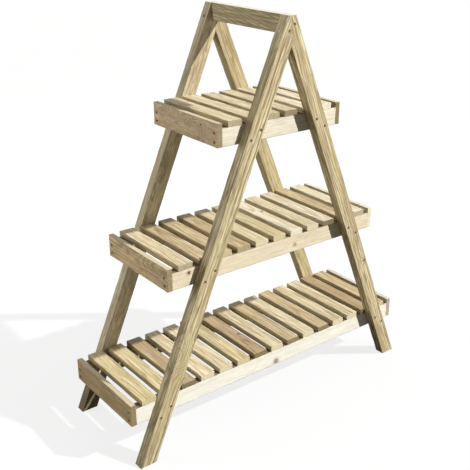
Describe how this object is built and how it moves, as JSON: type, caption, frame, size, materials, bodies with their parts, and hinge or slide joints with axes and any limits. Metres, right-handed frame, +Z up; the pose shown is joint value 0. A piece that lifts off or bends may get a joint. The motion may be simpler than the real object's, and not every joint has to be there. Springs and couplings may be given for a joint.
{
  "type": "tiered plant stand",
  "caption": "Freestanding timber A-frame stand whose slatted trays get longer from top to bottom, joined at the crown by a ridge board, for rows of potted plants.",
  "frame": {"origin": "on the floor, under the middle of the stand", "axes": "+X along the trays from left to right seen from the front, +Y from front to back, +Z up"},
  "size_m": [0.9808, 0.353, 1.13],
  "materials": {
    "frame_timber": "planed, pressure-treated softwood",
    "tray_timber": "planed, pressure-treated softwood",
    "slat_timber": "planed, pressure-treated softwood",
    "screw_steel": "zinc plated",
    "brad_steel": "galvanised"
  },
  "bodies": {
    "root": {"apex_screws": "screw_steel", "bottom_front_rail": "tray_timber", "bottom_left_end_board": "tray_timber", "bottom_rear_rail": "tray_timber", "bottom_right_end_board": "tray_timber", "bottom_slat_01": "slat_timber", "bottom_slat_02": "slat_timber", "bottom_slat_03": "slat_timber", "bottom_slat_04": "slat_timber", "bottom_slat_05": "slat_timber", "bottom_slat_06": "slat_timber", "bottom_slat_07": "slat_timber", "bottom_slat_08": "slat_timber", "bottom_slat_09": "slat_timber", "bottom_slat_10": "slat_timber", "bottom_slat_11": "slat_timber", "bottom_slat_12": "slat_timber", "bottom_slat_13": "slat_timber", "bottom_slat_14": "slat_timber", "bottom_slat_15": "slat_timber", "bottom_slat_brads": "brad_steel", "end_board_screws": "screw_steel", "front_left_leg": "frame_timber", "front_right_leg": "frame_timber", "leg_screws": "screw_steel", "middle_front_rail": "tray_timber", "middle_left_end_board": "tray_timber", "middle_rear_rail": "tray_timber", "middle_right_end_board": "tray_timber", "middle_slat_01": "slat_timber", "middle_slat_02": "slat_timber", "middle_slat_03": "slat_timber", "middle_slat_04": "slat_timber", "middle_slat_05": "slat_timber", "middle_slat_06": "slat_timber", "middle_slat_07": "slat_timber", "middle_slat_08": "slat_timber", "middle_slat_09": "slat_timber", "middle_slat_10": "slat_timber", "middle_slat_11": "slat_timber", "middle_slat_brads": "brad_steel", "rear_left_leg": "frame_timber", "rear_right_leg": "frame_timber", "ridge_board": "frame_timber", "ridge_screws": "screw_steel", "top_front_rail": "tray_timber", "top_left_end_board": "tray_timber", "top_rear_rail": "tray_timber", "top_right_end_board": "tray_timber", "top_slat_01": "slat_timber", "top_slat_02": "slat_timber", "top_slat_03": "slat_timber", "top_slat_04": "slat_timber", "top_slat_05": "slat_timber", "top_slat_06": "slat_timber", "top_slat_brads": "brad_steel"}
  },
  "joints": []
}
